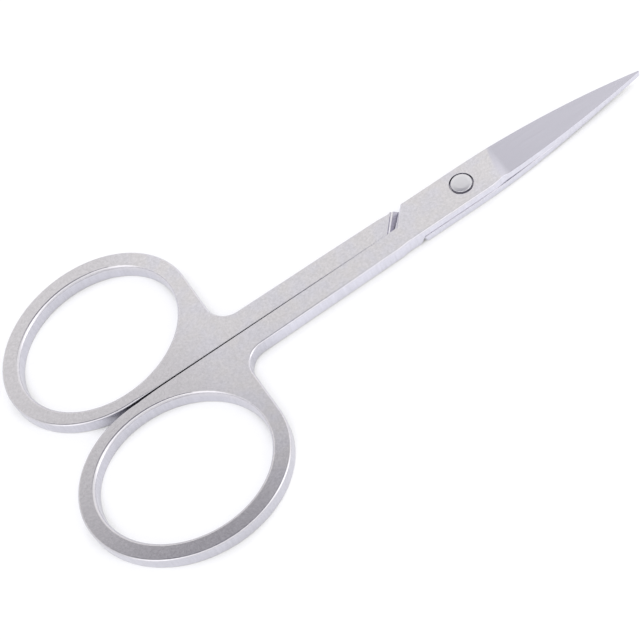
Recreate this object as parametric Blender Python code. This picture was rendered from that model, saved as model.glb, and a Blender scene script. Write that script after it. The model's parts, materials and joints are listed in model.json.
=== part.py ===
"""Eyebrow scissors, closed: two stamped plate halves that lap at a riveted pivot.

Metres. +X runs along the blades to the tips, +Y towards the lower half's finger ring, +Z up.
The origin is the middle of the footprint, on the surface that the scissors lie on.

Both halves are the same stamping. It is modelled once, as the upper half with its handle on the
-Y side and the pivot at its own origin, and turned over about X to make the lower half.
"""

import math

import bmesh
import bpy
from mathutils import Matrix

# Plate
plate_thickness = 0.0023
edge_radius = 0.00022
edge_limit_share = 0.9  # of the sharpest outline corner's radius
round_edge_share = 0.5  # bevel profile that gives a circle's arc
lap_gap = 0.0001  # between the two lapped faces

# Finger rings
pivot_to_ring = 0.051
finger_hole_length = 0.0233
finger_hole_width = 0.01944
finger_hole_shift = 0.0002  # from the middle of the ring towards the split line
finger_hole_rim_radius = 0.0004  # the hole's rims are rounder than the outer edges
ring_end_band = 0.00245  # ring's width at the ends of its long axis
ring_side_band = 0.00211
ring_tilt = math.radians(10.3)
neck_radius = 0.003

# Shanks, measured from the long axis of the closed scissors
split_gap_at_ring = 0.0006  # between the two rings
split_gap_at_notch = 0.00012
shank_half_width_at_ring = 0.0032
shank_half_width_at_notch = 0.00294

# Blades
pivot_to_tip = 0.0287
tip_radius = 0.00026
spine_half_width = 0.00305  # from the long axis to the blade's back
spine_fullness = 2.0  # power of the back's curve
root_half_width = 0.0028  # the other side, beside the rivet
cutting_edge_half_width = 0.00265  # where the cutting edge's curve would pass the rivet
cutting_edge_fullness = 2.3
root_length = 0.003  # from the rivet's centre to where the cutting edge's curve takes over
root_step_length = 0.0024  # over which the root blends into that curve
edge_lean = math.radians(7)  # of the cutting edge's wall from square

# Grind of the blade's outer face, a plane with the wheel's curve where it starts
grind_start = 0.0066
grind_wheel_radius = 0.006
cutting_edge_thickness = 0.0008
tip_thickness = 0.00048

# Hollow grind of the blade's inner face
hollow_start = 0.0058
hollow_depth = 0.00006
hollow_land = 0.00035  # flat strip that is left along both edges

# Notch where a shank ends over the other half's lap: a ramp, then the other blade's heel
notch_angle = math.radians(49.3)  # from the long axis, seen from above
upper_half_heel_reach = 0.01075  # from the pivot to the blade's heel, along the long axis
lower_half_heel_reach = 0.01048
heel_radius = 0.0003
notch_clearance = 0.0001
upper_half_notch_mouth = 0.0113  # from the pivot to where the ramp leaves the outer face
lower_half_notch_mouth = 0.01225

# Pivot rivet
rivet_offset = 0.00026  # off the long axis, towards the lower half's ring
rivet_pin_diameter = 0.0019
rivet_head_diameter = 0.0029
rivet_head_thickness = 0.0006
rivet_crown = 0.00012
rivet_edge_chamfer = 0.00012
rivet_recess = 0.00004  # of the tail below the face around it
pin_clearance = 0.00003
head_clearance = 0.00024  # around the head in its counterbore
seat_clearance = 0.00005  # under the head

# How finely curves are divided
ring_steps = 88
blade_steps = 18
corner_steps = 5
edge_steps = 3
bore_steps = 40
hollow_steps = 6
crown_steps = 5
overrun = 0.001  # how far every cutter reaches past what it cuts

lap_face = (plate_thickness + lap_gap) / 2
rim_radius = min(edge_radius, edge_limit_share * tip_radius, edge_limit_share * heel_radius)
hole_length_radius = finger_hole_length / 2
hole_width_radius = finger_hole_width / 2
ring_length_radius = hole_length_radius + ring_end_band
ring_width_radius = hole_width_radius + ring_side_band


def ellipse_reach(length_radius, width_radius, along_x):
    """How far the tilted ellipse reaches from its centre, along X or along Y."""
    turn = ring_tilt if along_x else ring_tilt + math.pi / 2
    return math.hypot(length_radius * math.cos(turn), width_radius * math.sin(turn))


ring_reach_x = ellipse_reach(ring_length_radius, ring_width_radius, True)
ring_reach_y = ellipse_reach(ring_length_radius, ring_width_radius, False)
ring_centre_x = -pivot_to_ring
ring_centre_y = -split_gap_at_ring / 2 - ring_reach_y
pivot_x = (pivot_to_ring + ring_reach_x - pivot_to_tip) / 2


def ring_point(length_radius, width_radius, angle):
    """A point of a tilted ellipse about the middle of the upper half's finger ring."""
    along = length_radius * math.cos(angle)
    across = width_radius * math.sin(angle)
    x = ring_centre_x + along * math.cos(ring_tilt) + across * math.sin(ring_tilt)
    y = ring_centre_y - along * math.sin(ring_tilt) + across * math.cos(ring_tilt)
    return x, y


def arc_corner(before, corner, after, radius, steps=corner_steps):
    """The corner of an outline rounded off, as points from one tangent point to the other."""
    back = (before[0] - corner[0], before[1] - corner[1])
    ahead = (after[0] - corner[0], after[1] - corner[1])
    back_angle = math.atan2(back[1], back[0])
    turn = (math.atan2(ahead[1], ahead[0]) - back_angle + math.pi) % (2 * math.pi) - math.pi
    half = abs(turn) / 2
    middle = back_angle + turn / 2
    centre_x = corner[0] + radius / math.sin(half) * math.cos(middle)
    centre_y = corner[1] + radius / math.sin(half) * math.sin(middle)
    sweep = math.pi - abs(turn)
    side = math.copysign(1, turn)
    points = []
    for step in range(steps + 1):
        angle = middle + math.pi + side * sweep * (1 / 2 - step / steps)
        points.append((centre_x + radius * math.cos(angle), centre_y + radius * math.sin(angle)))
    return points


def back_y(x):
    """The blade's back at x, a curve from its full half width to the tip's radius."""
    share = x / (pivot_to_tip - tip_radius)
    return tip_radius + (spine_half_width - tip_radius) * (1 - share**spine_fullness)


def edge_share(x):
    """How far the straight root has blended into the cutting edge at x, from 0 to 1."""
    share = min(1, (x - root_length) / root_step_length)
    return share * share * (3 - 2 * share)


def cutting_y(x):
    """The cutting edge at x, on the other side of the long axis."""
    share = x / (pivot_to_tip - tip_radius)
    fall = 1 - share**cutting_edge_fullness
    curve_y = tip_radius + (cutting_edge_half_width - tip_radius) * fall
    return -root_half_width + (root_half_width - curve_y) * edge_share(x)


def heel_x(reach, y):
    """X of the slanted notch line that crosses the long axis at this reach from the pivot."""
    return -reach + y / math.tan(notch_angle)


def ring_outline():
    """The ring's outer edge, the long way round from the split line to the neck."""
    across = ring_width_radius
    along = ring_length_radius
    first = math.atan2(across * math.cos(ring_tilt), -along * math.sin(ring_tilt))
    last = math.atan2(across * math.sin(ring_tilt), along * math.cos(ring_tilt))
    sweep = (last - first) % (2 * math.pi)
    steps = round(ring_steps * sweep / (2 * math.pi))
    return [
        ring_point(along, across, first + sweep * step / steps)
        for step in range(steps + 1)
    ]


def half_outline(z, heel_reach):
    """The stamping's outline at height z, counterclockwise. Only the cutting edge's wall leans."""
    lean = math.tan(edge_lean) * (z - lap_face)
    curve_end = pivot_to_tip - tip_radius
    split_y = -split_gap_at_notch / 2
    neck = (ring_centre_x + ring_reach_x, -shank_half_width_at_ring)
    shank_end = (-lower_half_notch_mouth, -shank_half_width_at_notch)
    root_start = (-heel_reach, -root_half_width)
    root_end = (root_length, -root_half_width)
    heel_top = (heel_x(heel_reach, spine_half_width), spine_half_width)
    heel_foot = (heel_x(heel_reach, split_y), split_y)

    points = []
    for step in range(blade_steps):
        x = curve_end * (1 - step / blade_steps)
        points.append((x, back_y(x)))
    spine_start = (0, spine_half_width)
    points.append(spine_start)
    points += arc_corner(spine_start, heel_top, heel_foot, heel_radius)
    ring = ring_outline()
    points += arc_corner(heel_top, heel_foot, ring[0], heel_radius)
    points += ring
    points += arc_corner(ring[-1], neck, shank_end, neck_radius, 2 * corner_steps)
    points += [shank_end, root_start, root_end]
    edge_x = [root_length + root_step_length * step / corner_steps for step in range(1, corner_steps)]
    run = curve_end - root_length - root_step_length
    edge_x += [curve_end - run * step / blade_steps for step in range(blade_steps, -1, -1)]
    for x in edge_x:
        lean_share = edge_share(x) * (curve_end - x) / (curve_end - root_length)
        points.append((x, cutting_y(x) + lean * lean_share))
    for step in range(1, corner_steps):
        angle = math.pi * (step / corner_steps - 1 / 2)
        points.append((curve_end + tip_radius * math.cos(angle), tip_radius * math.sin(angle)))
    return points


def new_object(name, bm):
    """A smooth-shaded object of this mesh, in the scene."""
    mesh = bpy.data.meshes.new(name)
    bm.to_mesh(mesh)
    bm.free()
    mesh.shade_smooth()
    obj = bpy.data.objects.new(name, mesh)
    bpy.context.scene.collection.objects.link(obj)
    return obj


def lofted(sections):
    """A closed mesh through sections of as many points each, with a face over either end."""
    bm = bmesh.new()
    rings = [[bm.verts.new(point) for point in section] for section in sections]
    count = len(rings[0])
    for ring, following in zip(rings, rings[1:]):
        for i in range(count):
            j = (i + 1) % count
            bm.faces.new((ring[i], ring[j], following[j], following[i]))
    bm.faces.new(rings[0])
    bm.faces.new(rings[-1])
    bmesh.ops.recalc_face_normals(bm, faces=bm.faces)
    return bm


def cut(body, bm, name):
    """Takes the mesh away from the body, as a hidden cutter that follows the body."""
    cutter = new_object(f"{body.name}_{name}_cutter", bm)
    cutter.parent = body
    cutter.hide_render = True
    cutter.display_type = "WIRE"
    boolean = body.modifiers.new(name, "BOOLEAN")
    boolean.operation = "DIFFERENCE"
    boolean.solver = "EXACT"
    boolean.object = cutter


def plate_blank(name, heel_reach):
    """The stamped blank, full thickness everywhere, with its outer edges tumbled round."""
    sections = [[(x, y, z) for x, y in half_outline(z, heel_reach)] for z in (0, plate_thickness)]
    bm = lofted(sections)
    rims = [edge for edge in bm.edges if abs(edge.verts[0].co.z - edge.verts[1].co.z) < rim_radius]
    bmesh.ops.bevel(
        bm,
        geom=rims,
        offset=rim_radius,
        offset_type="OFFSET",
        segments=edge_steps,
        profile=round_edge_share,
        affect="EDGES",
    )
    return new_object(name, bm)


def finger_hole_cutter():
    """The finger hole, flared at both faces so that its rims are round too."""
    levels = [(-overrun, finger_hole_rim_radius)]
    for step in range(edge_steps + 1):
        angle = math.pi / 2 * step / edge_steps
        rise = finger_hole_rim_radius * (1 - math.cos(angle))
        levels.append((rise, finger_hole_rim_radius * (1 - math.sin(angle))))
    levels += [(plate_thickness - z, flare) for z, flare in reversed(levels)]
    sections = []
    for z, flare in levels:
        section = []
        for step in range(ring_steps):
            angle = 2 * math.pi * step / ring_steps
            x, y = ring_point(hole_length_radius + flare, hole_width_radius + flare, angle)
            section.append((x, y + finger_hole_shift, z))
        sections.append(section)
    return lofted(sections)


def lap_cutter(notch_mouth, other_heel_reach):
    """What is milled away under the blade: up to the lap face, with a ramp where the shank ends."""
    foot = other_heel_reach + notch_clearance
    slope = (notch_mouth - foot) / lap_face
    far = pivot_to_tip + overrun
    side = spine_half_width + finger_hole_width
    sections = []
    for y in (-side, side):
        shift = -y / math.tan(notch_angle)
        start = shift - notch_mouth
        sections.append(
            [
                (start - slope * overrun, y, -overrun),
                (far, y, -overrun),
                (far, y, lap_face),
                (shift - foot, y, lap_face),
            ]
        )
    return lofted(sections)


def grind_cutter():
    """What the wheel grinds off the blade's outer face."""
    spine_y = back_y(grind_start)
    edge_y = cutting_y(grind_start)
    edge_z = lap_face + cutting_edge_thickness
    cross_slope = (plate_thickness - edge_z) / (spine_y - edge_y)
    middle_z = plate_thickness - cross_slope * spine_y
    run = pivot_to_tip - grind_start
    slope = (middle_z - lap_face - tip_thickness) / run
    tilt = math.atan(slope)
    rise = plate_thickness - middle_z + cross_slope * spine_half_width + overrun
    sweep = math.acos(1 - rise / grind_wheel_radius)

    profile = [(pivot_to_tip + overrun, middle_z - slope * (run + overrun))]
    for step in range(2 * corner_steps + 1):
        angle = sweep * step / (2 * corner_steps)
        x = grind_start - grind_wheel_radius * (math.sin(angle + tilt) - math.sin(tilt))
        z = middle_z + grind_wheel_radius * (math.cos(tilt) - math.cos(angle + tilt))
        profile.append((x, z))
    profile.append((pivot_to_tip + overrun, profile[-1][1]))
    side = spine_half_width + overrun
    return lofted([[(x, y, z + cross_slope * y) for x, z in profile] for y in (-side, side)])


def hollow_cutter():
    """The shallow hollow of the blade's inner face, between two flat lands, fading to the tip."""
    length = pivot_to_tip - hollow_start
    sections = []
    for step in range(hollow_steps + 1):
        x = hollow_start + length * step / (hollow_steps + 1)
        top = back_y(x) - hollow_land
        bottom = cutting_y(x) + hollow_land
        ends = math.sin(math.pi / 2 * min(1, 2 * step / hollow_steps))
        depth = hollow_depth * (top - bottom) / (2 * spine_half_width) * ends
        section = [(x, top, lap_face - overrun), (x, bottom, lap_face - overrun)]
        for turn in range(2 * corner_steps + 1):
            share = turn / corner_steps - 1
            y = (top + bottom) / 2 + (top - bottom) / 2 * share
            section.append((x, y, lap_face + depth * (1 - share * share)))
        sections.append(section)
    return lofted(sections)


def bore_cutter(rivet_y):
    """The rivet's hole and the counterbore for its head."""
    pin_radius = rivet_pin_diameter / 2 + pin_clearance
    head_radius = rivet_head_diameter / 2 + head_clearance
    floor = plate_thickness - rivet_head_thickness - seat_clearance
    profile = [
        (pin_radius, -overrun),
        (pin_radius, floor),
        (head_radius, floor),
        (head_radius, plate_thickness + overrun),
    ]
    bore = turned(profile)
    bmesh.ops.translate(bore, verts=bore.verts, vec=(0, rivet_y, 0))
    return bore


def turned(profile):
    """A closed mesh of revolution about Z through (radius, z) points."""
    sections = []
    for radius, z in profile:
        section = []
        for step in range(bore_steps):
            angle = 2 * math.pi * step / bore_steps
            section.append((radius * math.cos(angle), radius * math.sin(angle), z))
        sections.append(section)
    return lofted(sections)


def scissor_half(name, heel_reach, notch_mouth, other_heel_reach, rivet_y):
    """One half with its origin on the rivet's axis, which lies at rivet_y from the long axis."""
    half = plate_blank(name, heel_reach)
    cut(half, finger_hole_cutter(), "finger_hole")
    cut(half, lap_cutter(notch_mouth, other_heel_reach), "lap")
    cut(half, grind_cutter(), "grind")
    cut(half, hollow_cutter(), "hollow")
    cut(half, bore_cutter(rivet_y), "bore")
    for obj in (half, *half.children):
        obj.data.transform(Matrix.Translation((0, -rivet_y, 0)))
    return half


def pivot_rivet(name):
    """Head with a shallow crown, pin through both laps, and the tail set flat below."""
    head_radius = rivet_head_diameter / 2
    pin_radius = rivet_pin_diameter / 2
    head_seat = plate_thickness - rivet_head_thickness
    chamfer_radius = head_radius - rivet_edge_chamfer
    profile = [
        (chamfer_radius, rivet_recess),
        (head_radius, rivet_recess + rivet_edge_chamfer),
        (head_radius, rivet_head_thickness),
        (pin_radius, rivet_head_thickness),
        (pin_radius, head_seat),
        (head_radius, head_seat),
        (head_radius, plate_thickness - rivet_edge_chamfer),
    ]
    for step in range(crown_steps):
        share = 1 - step / crown_steps
        z = plate_thickness + rivet_crown * (1 - share * share)
        profile.append((chamfer_radius * share, z))
    return new_object(name, turned(profile))


def satin_steel(name, colour, roughness):
    material = bpy.data.materials.new(name)
    material.use_nodes = True
    shader = material.node_tree.nodes["Principled BSDF"]
    shader.inputs["Base Color"].default_value = (*colour, 1)
    shader.inputs["Metallic"].default_value = 1
    shader.inputs["Roughness"].default_value = roughness
    return material


def main():
    for obj in list(bpy.data.objects):
        bpy.data.objects.remove(obj, do_unlink=True)

    upper = scissor_half(
        "upper_half",
        upper_half_heel_reach,
        upper_half_notch_mouth,
        lower_half_heel_reach,
        rivet_offset,
    )
    upper.location = (pivot_x, rivet_offset, 0)
    upper.data.materials.append(satin_steel("upper_half_satin_steel", (0.62, 0.61, 0.60), 0.38))

    lower = scissor_half(
        "lower_half",
        lower_half_heel_reach,
        lower_half_notch_mouth,
        upper_half_heel_reach,
        -rivet_offset,
    )
    lower.location = (pivot_x, rivet_offset, plate_thickness)
    lower.rotation_euler = (math.pi, 0, 0)
    lower.data.materials.append(satin_steel("lower_half_satin_steel", (0.62, 0.61, 0.60), 0.38))

    rivet = pivot_rivet("pivot_rivet")
    rivet.location = (pivot_x, rivet_offset, 0)
    rivet.data.materials.append(satin_steel("rivet_satin_steel", (0.66, 0.66, 0.67), 0.3))


main()
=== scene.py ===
"""Eyebrow scissors dressed for the render: two stamped plate halves, a rivet and a white table.

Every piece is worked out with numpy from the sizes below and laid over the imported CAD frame, in metres.
Both halves come from one plan, drawn as the upper half: x runs from the rivet towards the tips, y is
measured from the long axis of the closed scissors, and the handle lies on the negative side of y.
"""

import json
import math

import bpy
import numpy as np
from bpy.props import FloatProperty, FloatVectorProperty, IntProperty, PointerProperty
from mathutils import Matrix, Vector
from mathutils.geometry import delaunay_2d_cdt


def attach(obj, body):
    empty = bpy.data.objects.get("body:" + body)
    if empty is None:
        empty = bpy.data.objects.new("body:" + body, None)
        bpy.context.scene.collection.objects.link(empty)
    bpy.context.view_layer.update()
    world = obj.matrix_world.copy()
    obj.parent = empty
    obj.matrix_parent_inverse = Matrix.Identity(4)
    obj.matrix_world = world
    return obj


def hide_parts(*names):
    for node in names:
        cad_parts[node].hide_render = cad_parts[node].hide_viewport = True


bl_info = {
    "name": "Eyebrow Scissors",
    "version": (1, 0, 0),
    "blender": (4, 5, 0),
    "location": "3D View > Sidebar > Scissors",
    "description": "Builds stamped eyebrow scissors with a riveted half lap, and a white table",
    "category": "Object",
}

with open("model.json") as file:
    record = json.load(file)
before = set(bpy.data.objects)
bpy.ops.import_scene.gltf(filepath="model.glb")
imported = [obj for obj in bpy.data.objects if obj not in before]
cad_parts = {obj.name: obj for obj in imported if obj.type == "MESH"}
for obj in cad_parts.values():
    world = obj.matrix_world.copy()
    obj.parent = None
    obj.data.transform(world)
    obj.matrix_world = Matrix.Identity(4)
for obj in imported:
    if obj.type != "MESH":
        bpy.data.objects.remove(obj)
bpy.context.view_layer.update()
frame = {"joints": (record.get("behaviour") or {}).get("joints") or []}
hinge = frame["joints"][0]
pivot_x, rivet_y, _ = hinge["pos_m"]


def length(name, default, words):
    """A length in metres that a user can change."""
    return FloatProperty(name=name, description=words, default=default, unit="LENGTH", precision=5)


def angle(name, degrees, words):
    """An angle that a user can change."""
    return FloatProperty(name=name, description=words, default=math.radians(degrees), unit="ROTATION")


def number(name, default, words):
    """A share that a user can change."""
    return FloatProperty(name=name, description=words, default=default)


def steps(name, default, words):
    """A count of steps that a user can change."""
    return IntProperty(name=name, description=words, default=default)


def linear(code):
    """A #RRGGBB colour as linear red, green and blue."""
    parts = np.array([int(code[i : i + 2], 16) for i in (1, 3, 5)]) / 255
    return tuple(np.where(parts <= 0.04045, parts / 12.92, ((parts + 0.055) / 1.055) ** 2.4))


def colour(name, code, words):
    """A colour that a user can change."""
    return FloatVectorProperty(
        name=name, description=words, default=linear(code), subtype="COLOR", min=0, max=1
    )


class ScissorSizes(bpy.types.PropertyGroup):
    """Sizes of the stamped halves."""

    plate: length("Plate thickness", 0.0023, "Thickness of ring and shank")
    edge: length("Edge rounding", 0.00023, "Radius that tumbling leaves on the outer edges")
    shank_edge: length("Shank edge rounding", 0.00011, "The same radius from the notch to the tips")
    bevel: length("Bevel", 0.0002, "Flat bevel along the near edge of shank and lap")
    ring_share: number("Ring bevel", 0.35, "Flat share of the rings' edges")
    bevel_share: number("Shank bevel", 0.65, "The same at shank and lap")
    thin_share: number("Thin edge", 0.45, "Largest edge rounding, as a share of the lap's thickness")
    fade_start: length("Fade start", 0.027, "From the rivet back to where the rings' rounding ends")
    fade_end: length("Fade end", 0.014, "From the rivet back to where the bevel is whole")
    lap_gap: length("Lap gap", 0.00001, "Between the two lapped faces")
    ring_distance: length("Pivot to ring", 0.051, "From the rivet to the middle of a finger ring")
    hole_length: length("Finger hole length", 0.0233, "Long axis of the finger hole")
    hole_width: length("Finger hole width", 0.01956, "Short axis of the finger hole")
    hole_shift: length("Finger hole shift", 0.0002, "From the ring's middle to the split line")
    hole_rim: length("Finger hole rim", 0.0004, "Rounding of the hole's upper rim")
    hole_drop: length("Deep rim", 0.001, "Depth of the same rounding where it is deepest")
    rim_turn: angle("Deep rim's direction", 32, "From the long axis to where that rim is deepest")
    hole_under_rim: length("Lower rim", 0.00022, "Rounding of the hole's lower rim")
    end_band: length("Ring end band", 0.00245, "Width of the ring at the ends of its long axis")
    side_band: length("Ring side band", 0.00214, "Width of the ring at its sides")
    ring_tilt: angle("Ring tilt", 10.3, "Turn of the ring's long axis from the scissors' axis")
    neck: length("Neck radius", 0.003, "Inside corner between ring and shank")
    ring_split: length("Split at the rings", 0.0003, "Gap between the two rings")
    shank_split: length("Split past the rings", 0.00022, "Gap where the shanks begin")
    shank_start: length("Shank start", 0.0035, "From the rings' nearest points to that place")
    middle_split: length("Split half way", 0.00012, "Gap half way between notch and rings")
    notch_split: length("Split at the notch", 0.00001, "Gap between the shanks at the notch")
    split_rise: length("Split rise", 0.00012, "Bend of the split to the spine's side at the notch")
    split_bend: length("Split bend", 0.0035, "From the notch to where that bend begins")
    shank_at_ring: length("Shank half width at the ring", 0.0032, "From the long axis")
    shank_at_notch: length("Shank half width at the notch", 0.00294, "From the long axis")
    heel_edge: length("Heel edge rounding", 0.00022, "The same radius at the heels' upper edges")
    blade: length("Pivot to tip", 0.029, "Length of the blade from the rivet")
    edge_bow: length("Edge bow", 0.00013, "How far the cutting edge bows in to the long axis")
    upper_bow: length("Upper spine bow", 0.00006, "How far the upper blade's spine bows out")
    lower_bow: length("Lower spine bow", -0.00025, "The same of the lower blade, which bows in")
    tip: length("Tip radius", 0.00014, "Rounding of the tip, seen from above")
    tip_turn: angle("Tip turn", 79, "Half of the turn of the tip's rounding")
    spine: length("Spine half width", 0.00292, "From the long axis to the back of the blade")
    root: length("Root half width", 0.0028, "From the long axis to the edge beside the rivet")
    cutting: length("Edge half width", 0.00265, "Where the cutting edge's curve passes the rivet")
    root_end: length("Root length", 0.003, "From the rivet to where the cutting edge begins")
    root_step: length("Root run-out", 0.0024, "Length over which root and cutting edge blend")
    edge_lean: angle("Edge lean", 15, "Lean of the cutting edge's wall from square")
    grind_start: length("Grind start", 0.0061, "From the rivet to the flat of the ground face")
    wheel: length("Wheel radius", 0.0035, "Curve in which the ground face runs out")
    ground_border: length("Ground border", 0.0004, "Width in which satin gives way to the ground face")
    ground_run: length("Ground edge run", 0.0015, "Length in which the edge sharpens before that face")
    edge_thick: length("Edge thickness", 0.0008, "Blade's thickness at the start of its cutting edge")
    tip_thick: length("Tip thickness", 0.00048, "Blade's thickness at its tip")
    hollow_start: length("Hollow start", 0.0058, "From the rivet to the hollow of the inner face")
    hollow_depth: length("Hollow depth", 0.00006, "Depth of the inner face's hollow")
    notch_angle: angle("Notch angle", 49.3, "Of a heel from the long axis")
    mouth_angle: angle("Mouth angle", 52.8, "Of a ramp's mouth from the long axis")
    heel_lean: angle("Heel lean", 14, "Lean of the heels' end walls from square")
    lean_run: length("Heel lean run", 0.002, "Length of the split in which that lean fades")
    upper_heel: length("Upper heel reach", 0.0106, "From the rivet to the upper blade's heel")
    lower_heel: length("Lower heel reach", 0.01035, "From the rivet to the lower blade's heel")
    heel_round: length("Heel rounding", 0.0002, "Radius of the heel's corners")
    upper_foot: length("Upper ramp foot", 0.0106, "From the rivet to the foot of the upper half's ramp")
    lower_foot: length("Lower ramp foot", 0.0111, "From the rivet to the foot of the lower half's ramp")
    upper_mouth: length("Upper ramp mouth", 0.0112, "From the rivet to the ramp under the upper half")
    lower_mouth: length("Lower ramp mouth", 0.01195, "From the rivet to the ramp on the lower half")
    step_run: length("Ramp step run", 0.00012, "Length of the steep step at a ramp's mouth")
    step_fall: length("Ramp step fall", 0.00022, "Depth of that step")
    ledge_run: length("Ramp ledge run", 0.0004, "From a ramp's mouth to the end of its ledge")
    ledge_fall: length("Ramp ledge fall", 0.0003, "Depth at the end of the ledge")
    # Painted shade, with some oil and dirt: the share of the dark tone on the ramps in the notch.
    ramp_grime: number("Ramp grime", 0.55, "Share of oil and dirt on the ramps")
    inner_edge: length("Inner edge rounding", 0.00002, "Radius of the ground edges of the laps")
    lap_run: length("Inner edge run", 0.0004, "Length in which the edges sharpen before the lap")
    spine_edge: length("Spine edge rounding", 0.0001, "Radius of the spine's edge to the lap")
    split_edge: length("Split edge rounding", 0.00004, "Radius of the filed edges of the split line")
    filed_start: length("Filed edge start", 0.047, "From the rivet back to where that edge rounds off")
    filed_run: length("Filed edge run", 0.006, "Length in which it rounds off")


class RivetSizes(bpy.types.PropertyGroup):
    """Sizes of the rivet and of its bore."""

    pin: length("Pin diameter", 0.0019, "Diameter of the pin through both laps")
    head: length("Head diameter", 0.0029, "Diameter of the head")
    bore: length("Counterbore diameter", 0.00338, "Diameter of the bore that the head sits in")
    thick: length("Head thickness", 0.0006, "Height of the head's side")
    crown: length("Crown", 0.00003, "Height of the dome over its bevel")
    bevel: angle("Bevel", 4.5, "Slope of the turned bevel around the dome")
    flat: number("Dome share", 0.72, "Of the head's radius")
    rim: length("Rim rounding", 0.00012, "Radius of the head's corners")
    head_x: length("Head offset along", 0.00006, "Of the upset head from its pin, towards the tips")
    head_y: length("Head offset across", 0.00013, "Of the upset head from its pin, to the spine")
    recess: length("Tail recess", 0.00004, "Depth of the tail below the face around it")
    pin_gap: length("Pin clearance", 0.00003, "Around the pin")
    seat_gap: length("Seat clearance", 0.00005, "Under the head")
    # Painted shade, with some oil and dirt: the bore's share of the dark tone, and the depth over which it
    # darkens the head's side downwards.
    grime: number("Bore grime", 0.35, "Share of oil and dirt in the bore")
    grime_depth: length("Grime depth", 0.0004, "Depth in which it sets in at the head's side")


class Finish(bpy.types.PropertyGroup):
    """Colours of the steel's surfaces, of the table and of the tent's opening."""

    face: colour("Satin face", "#DBD8DA", "Tumbled flat faces")
    cool_face: colour("Cool patches", "#D9D7DD", "Patches of those faces")
    ring_face: colour("Ring face", "#D3D0D3", "The duller faces of the rings")
    ground: colour("Ground face", "#CDCBD5", "Wheel-ground blade face")
    wall: colour("Shank wall", "#E0DFE9", "Sides left by the stamping tool at shank and blade")
    # Painted shade: the rings' walls take a darker copy of the shank walls' tone.
    ring_wall: colour("Ring wall", "#CECDD5", "The duller sides of the rings")
    rivet: colour("Rivet", "#E1E0E3", "Turned rivet")
    # Painted shade, with some oil and dirt: the dark tone in the bore, at the head's side and in the
    # notches.
    grime: colour("Grime", "#77757F", "Oil and dirt around the rivet and in the notches")
    paper: colour("Paper", "#A2A295", "The part of the table's white that takes the shadow")
    paper_glow: colour("Paper glow", "#DDDDE6", "The part of its white that stays in the open")
    opening: colour("Tent opening", "#7C7C89", "The dark room over the light tent")


class Fineness(bpy.types.PropertyGroup):
    """How finely curves and faces are divided."""

    ring: steps("Ring steps", 300, "Around a finger ring")
    blade: steps("Blade steps", 110, "Along a blade")
    corner: steps("Corner steps", 8, "Around a small corner")
    edge: steps("Edge steps", 7, "Across a rounded edge")
    bore: steps("Bore steps", 96, "Around the rivet and its bore")
    root: steps("Root points", 16, "Along the straight root")
    across: steps("Points across", 15, "Across the faces of a blade")
    wheel: steps("Wheel rows", 14, "Along the curve in which the ground face runs out")
    grind: steps("Ground rows", 22, "Along the rest of the ground face")
    hollow: steps("Hollow rows", 30, "Along the hollow")
    border: steps("Border points", 24, "Along the ground face's border")
    side_gap: length("Side spacing", 0.0008, "Of the points on a straight side")
    heel_gap: length("Heel spacing", 0.0003, "Of the points on a heel's end")
    line_gap: length("Line spacing", 0.0006, "Of the points on a line that a ramp crosses")
    row_gap: length("Row gap", 0.0005, "From the grind's start to the rows on either side")
    tip_margin: length("Tip margin", 0.0025, "From the tip to the nearest row")
    edge_margin: length("Edge margin", 0.00015, "From the rounded edges to the rows' ends")


PER_METRE = 1000  # Millimetres in a metre.
LIMITS = ("From Min", "From Max", "To Min", "To Max")  # Sockets of a Map Range node.
TINY = 1e-6  # Two heights less than this apart are one.
ON_LINE = 1e-9  # A point less than this from a line is on it.


def unit(vectors):
    """Each row divided by its length."""
    return vectors / np.linalg.norm(vectors, axis=-1, keepdims=True)


def ellipse(centre, long_radius, short_radius, tilt, turn):
    """Points of an ellipse whose long axis is turned by -tilt: the centre plus long radius times the
    cosine of turn along that axis, plus short radius times the sine of turn across it."""
    along = long_radius * np.cos(turn)
    across = short_radius * np.sin(turn)
    x = centre[0] + along * math.cos(tilt) + across * math.sin(tilt)
    y = centre[1] - along * math.sin(tilt) + across * math.cos(tilt)
    return np.stack([x, y], axis=-1)


def corner(before, point, after, radius, steps):
    """A corner rounded off: points of the circle of this radius that touches both of its sides, from
    one touching point to the other. Its centre lies on the corner's bisector, at the radius over the
    sine of half the corner's angle."""
    before, point, after = (np.array(p, float) for p in (before, point, after))
    back = unit(before - point)
    ahead = unit(after - point)
    half = math.acos(np.clip(back @ ahead, -1, 1)) / 2
    centre = point + unit(back + ahead) * radius / math.sin(half)
    first = point + back * radius / math.tan(half) - centre
    last = point + ahead * radius / math.tan(half) - centre
    start = math.atan2(first[1], first[0])
    sweep = (math.atan2(last[1], last[0]) - start + math.pi) % (2 * math.pi) - math.pi
    turn = start + sweep * np.linspace(0, 1, steps + 1)
    return centre + radius * np.stack([np.cos(turn), np.sin(turn)], axis=-1)


def between(first, last, spacing):
    """Evenly spaced points of a straight line, without its two ends."""
    first, last = np.array(first, float), np.array(last, float)
    count = max(1, round(np.linalg.norm(last - first) / spacing))
    steps = np.linspace(0, 1, count + 1)[1:-1, None]
    return first + (last - first) * steps


def smooth_step(value):
    """0 below 0, 1 above 1, and three squares less two cubes between them."""
    value = np.clip(value, 0, 1)
    return value * value * (3 - 2 * value)


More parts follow.
